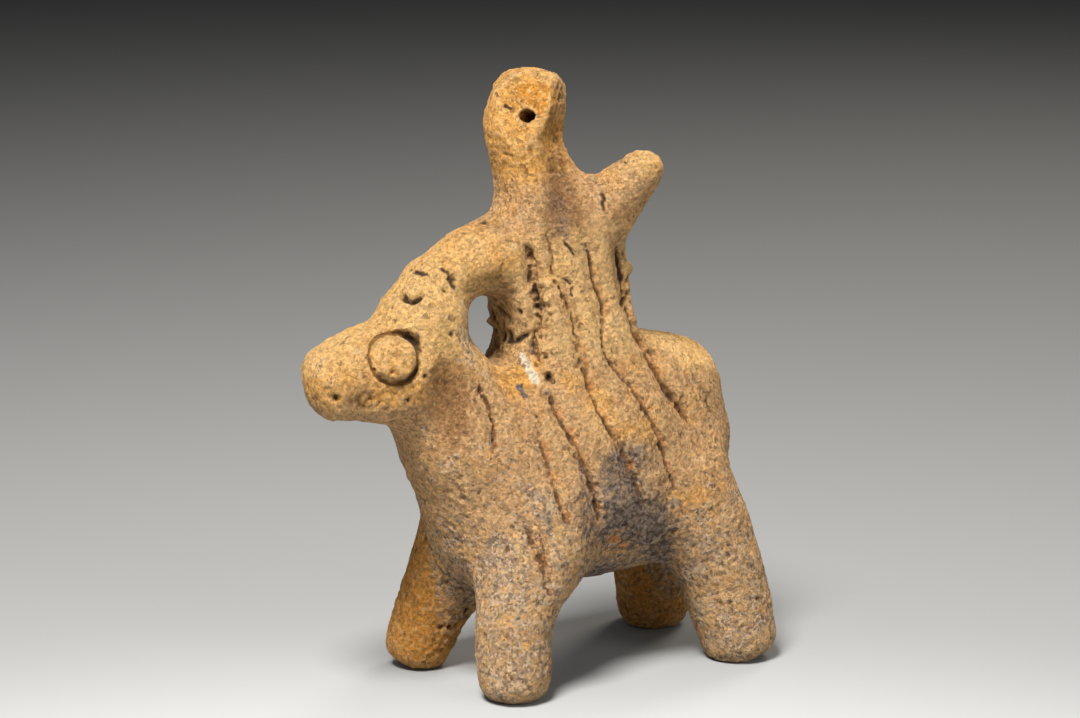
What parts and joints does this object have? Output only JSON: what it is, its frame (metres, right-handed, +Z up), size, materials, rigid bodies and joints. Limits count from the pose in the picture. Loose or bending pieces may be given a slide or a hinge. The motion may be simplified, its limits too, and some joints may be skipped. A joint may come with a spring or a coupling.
{
  "type": "terracotta horse and rider figurine",
  "caption": "Small hand-modelled fired-clay horse on stump legs with a rider whose arm reaches the horse's crown, weathered and incised with long garment folds.",
  "frame": {"origin": "middle of the standing figure's outline, on the ground under its four soles", "axes": "+Z up; the horse looks towards -X, so its left side faces -Y and its right side faces +Y"},
  "size_m": [0.093, 0.0426, 0.1149],
  "materials": {
    "fired_clay": "unglazed low-fired ochre clay, rough and matt, with a grey firing cloud on the near flank and belly"
  },
  "bodies": {
    "root": {"horse_and_rider": "fired_clay"}
  },
  "joints": []
}
